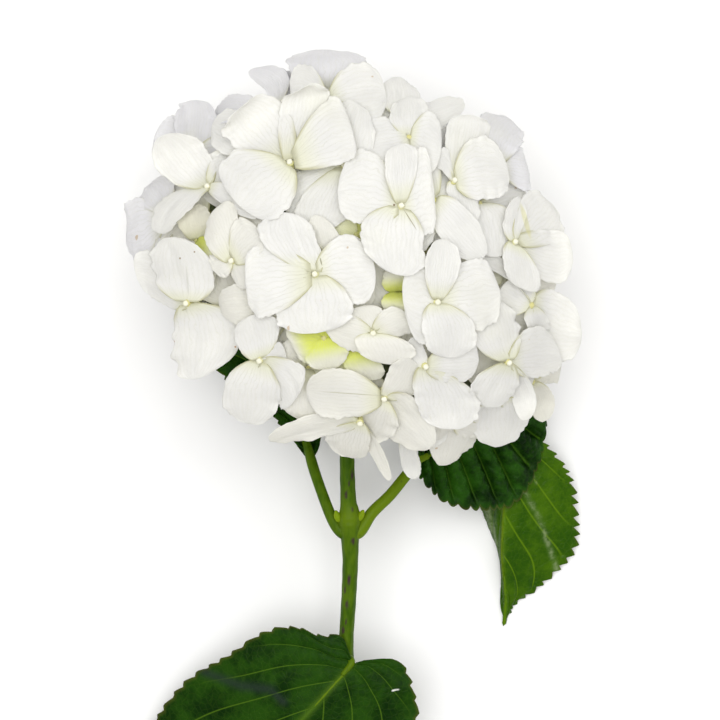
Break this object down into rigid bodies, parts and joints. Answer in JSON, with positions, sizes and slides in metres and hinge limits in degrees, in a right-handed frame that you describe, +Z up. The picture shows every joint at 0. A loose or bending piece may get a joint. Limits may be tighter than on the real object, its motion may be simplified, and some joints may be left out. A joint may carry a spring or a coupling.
{
  "type": "cut hydrangea",
  "caption": "Cut mophead hydrangea lying on its side: a round head of near-white four-sepal florets on a branched stalk, a green stem with a slanted cut end, and toothed leaves.",
  "frame": {"origin": "middle of the bounding box's footprint, on the surface that the flower lies on", "axes": "+Z up, +Y from the stem's cut end towards the head, +X to the right when the flower is looked down on with the head at the top"},
  "size_m": [0.177, 0.3706, 0.1362],
  "materials": {
    "sepal": "thin, soft, slightly translucent near-white sepals",
    "branch": "smooth cream-green flower stalk",
    "stem": "smooth green stem with small dark spots",
    "leaf": "dark green, semi-gloss, sunken veins",
    "leaf_light": "mid green, glossy young leaf",
    "bud": "light green side buds"
  },
  "bodies": {
    "root": {"stem": "stem", "leaf_lower": "leaf", "leaf_right": "leaf", "leaf_left": "leaf", "leaf_rear": "leaf_light", "bud_left": "bud", "bud_right": "bud", "head_branch_1": "branch", "head_branch_2": "branch", "head_branch_3": "branch", "head_branch_4": "branch", "head_branch_5": "branch", "head_branch_6": "branch", "floret_01": "sepal", "floret_02": "sepal", "floret_03": "sepal", "floret_04": "sepal", "cluster_06": "sepal", "floret_05": "sepal", "floret_14": "sepal", "floret_06": "sepal", "cluster_11": "sepal", "floret_07": "sepal", "floret_15": "sepal", "cluster_05": "sepal", "cluster_09": "sepal", "floret_11": "sepal", "cluster_03": "sepal", "floret_18": "sepal", "floret_20": "sepal", "floret_10": "sepal", "floret_13": "sepal", "cluster_02": "sepal", "cluster_04": "sepal", "cluster_10": "sepal", "floret_17": "sepal", "floret_21": "sepal", "cluster_01": "sepal", "floret_19": "sepal", "floret_16": "sepal", "floret_09": "sepal", "floret_22": "sepal", "cluster_07": "sepal", "cluster_12": "sepal", "floret_08": "sepal", "floret_12": "sepal", "cluster_08": "sepal", "cymule_07": "sepal", "cymule_09": "sepal", "cymule_10": "sepal", "cymule_11": "sepal", "cymule_13": "sepal", "cymule_01": "sepal", "cymule_06": "sepal", "cymule_04": "sepal", "cymule_08": "sepal", "cymule_03": "sepal", "cymule_02": "sepal", "cymule_05": "sepal", "cymule_12": "sepal"}
  },
  "joints": []
}
